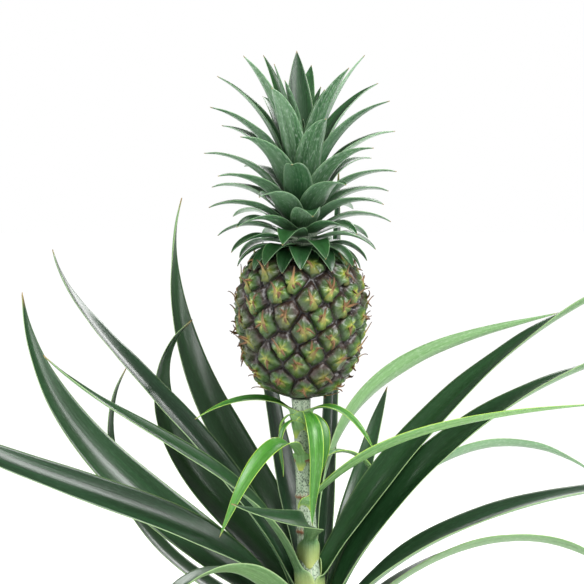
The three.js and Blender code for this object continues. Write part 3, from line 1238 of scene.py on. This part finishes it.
# Peat potting soil: dark brown, crumbly, matt.
def peat():
    material, tree, skin = startMaterial("pottingPeat")
    place = addNode(tree, "ShaderNodeTexCoord").outputs["Object"]
    coarse, fine = (
        addNode(
            tree, "ShaderNodeTexNoise", {"Vector": place, "Scale": 1 / size, "Detail": detail}
        ).outputs["Fac"]
        for size, detail in ((0.004, 5.0), (0.0009, 4.0))
    )
    colour = addNode(
        tree,
        "ShaderNodeValToRGB",
        {"Fac": coarse},
        stops=[(0.3, "#1C120B"), (0.55, "#3A2818"), (0.8, "#5C4630")],
    ).outputs["Color"]
    bump = addNode(tree, "ShaderNodeBump", {"Height": fine, "Strength": 0.9, "Distance": 0.001})
    setInputs(skin, {"Base Color": colour, "Normal": bump.outputs[0], "Roughness": 0.95})
    return material


# Perlite: expanded white volcanic glass, chalky and pitted.
def perlite():
    material, tree, skin = startMaterial("perliteGrains")
    place = addNode(tree, "ShaderNodeTexCoord").outputs["Object"]
    pits = addNode(
        tree, "ShaderNodeTexNoise", {"Vector": place, "Scale": 1 / 0.0007, "Detail": 3.0}
    ).outputs["Fac"]
    colour = addNode(
        tree, "ShaderNodeValToRGB", {"Fac": pits}, stops=[(0.3, "#B9B2A2"), (0.6, "#E6E2D6")]
    ).outputs["Color"]
    bump = addNode(tree, "ShaderNodeBump", {"Height": pits, "Strength": 0.8, "Distance": 0.0004})
    setInputs(skin, {"Base Color": colour, "Normal": bump.outputs[0], "Roughness": 0.9})
    return material


def soilBed():
    s = soilSettings
    bottom = potSettings["floor"] + 0.4
    narrow, wide = s["footRadii"]
    rim = s["radius"] - s["gap"]
    profile = [(0, bottom), (narrow, bottom), (wide, bottom + 5), (rim - 0.4, s["top"] - 2)]
    profile += [(rim * (1 - i / s["rings"]), s["top"]) for i in range(s["rings"] + 1)]
    bm = turned(profile, 110)
    for v in bm.verts:
        if v.co.z > s["top"] - 0.5:
            heaped = s["mound"] * smooth(34, 8, math.hypot(v.co.x, v.co.y))
            v.co.z += 1.8 * noise.noise(v.co * 0.09) + 1.0 * noise.noise(v.co * 0.33) + heaped
    bmesh.ops.scale(bm, vec=(mm, mm, mm), verts=bm.verts)
    return bm


def grains(count, sizes, seed):
    rng = random.Random(seed)
    bm = bmesh.new()
    for _ in range(count):
        made = bmesh.ops.create_icosphere(bm, subdivisions=1, radius=1)
        size = rng.uniform(*sizes)
        radius = soilSettings["spread"] * math.sqrt(rng.uniform(0.06, 1))
        heading = rng.uniform(0, math.tau)
        x, y = radius * math.cos(heading), radius * math.sin(heading)
        at = Vector((x, y, soilSettings["top"] + 0.8))
        stretch = Vector((rng.uniform(0.7, 1.3), rng.uniform(0.7, 1.3), rng.uniform(0.5, 0.9)))
        for v in made["verts"]:
            bump = 1 + 0.35 * noise.noise(v.co * 1.7 + at)
            v.co = Vector(a * b for a, b in zip(v.co, stretch)) * size * bump + at
    bmesh.ops.scale(bm, vec=(mm, mm, mm), verts=bm.verts)
    return bm


peatFinish = peat()
pieceFrom(soilBed(), "soilBed", [peatFinish], "soil", ["soil"])
pieceFrom(grains(soilSettings["crumbs"], (1.0, 2.6), 21), "soilCrumbs", [peatFinish], "soil")
pieceFrom(grains(soilSettings["perlite"], (0.9, 1.8), 22), "soilPerlite", [perlite()], "soil")
print("soil made")


stageSettings = {
    "floor": "#FFFFFF",
    "floorSize": 12,
    "sky": 1.0,
    "ambient": 0.28,
    "sun": 3.5,
    "sunSoftness": 35,  # degrees
    "sunTilt": (38, 22),
    "target": (-0.0136, 0, 0.3494),
    "distance": 2.0,
    "elevation": 3,
    "across": 0.397,  # metres in view at the target
    "lights": {  # place, what it points at, size in metres, watts
        "windowRight": ((1.3, -0.9, 1.2), (0, 0, 0.35), (0.6, 1.4), 24),
        "windowLeft": ((-1.5, -0.3, 0.9), (0, 0, 0.3), (0.4, 1.4), 18),
        "backLight": ((0.3, 1.4, 1.3), (0, 0, 0.35), (1.2, 0.6), 14),
    },
}


def addToScene(name, data):
    thing = bpy.data.objects.new(name, data)
    bpy.context.scene.collection.objects.link(thing)
    return thing


def turnTowards(direction):
    return direction.to_track_quat("-Z", "Y").to_euler()


def layFloor():
    bm = bmesh.new()
    bmesh.ops.create_grid(bm, x_segments=1, y_segments=1, size=stageSettings["floorSize"])
    material, _, skin = startMaterial("paintedFloor")
    setInputs(skin, {"Base Color": linear(stageSettings["floor"]), "Roughness": 0.9})
    pieceFrom(bm, "floor", [material], None)


# The room shows white, and lights the plant less than it shows.
def paintRoom():
    world = bpy.data.worlds.new("studio")
    world.use_nodes = True
    tree = world.node_tree
    seen = addNode(tree, "ShaderNodeLightPath").outputs["Is Camera Ray"]
    strength = addNode(
        tree,
        "ShaderNodeMix",
        {"Factor": seen, "A": stageSettings["ambient"], "B": stageSettings["sky"]},
    )
    room = {"Color": linear("#FFFFFF"), "Strength": strength.outputs[0]}
    setInputs(tree.nodes["Background"], room)
    bpy.context.scene.world = world
    bpy.context.scene.view_settings.view_transform = "Standard"


def hangLights():
    for name, (at, aim, size, watts) in stageSettings["lights"].items():
        data = bpy.data.lights.new(name, "AREA")
        data.shape = "RECTANGLE"
        data.size, data.size_y = size
        data.energy = watts
        light = addToScene(name, data)
        light.location = at
        light.rotation_euler = turnTowards(Vector(aim) - Vector(at))
    sunData = bpy.data.lights.new("softSun", "SUN")
    sunData.energy = stageSettings["sun"]
    sunData.angle = math.radians(stageSettings["sunSoftness"])
    tiltX, tiltY = stageSettings["sunTilt"]
    addToScene("softSun", sunData).rotation_euler = (math.radians(tiltX), math.radians(tiltY), 0)


def setCamera():
    data = bpy.data.cameras.new("camera")
    data.lens = data.sensor_width * stageSettings["distance"] / stageSettings["across"]
    data.clip_end = 50
    camera = addToScene("camera", data)
    elevation = math.radians(stageSettings["elevation"])
    away = Vector((0, -math.cos(elevation), math.sin(elevation)))
    camera.location = Vector(stageSettings["target"]) + away * stageSettings["distance"]
    camera.rotation_euler = turnTowards(-away)
    bpy.context.scene.camera = camera


layFloor()
paintRoom()
hangLights()
setCamera()
print("floor, light and camera set")
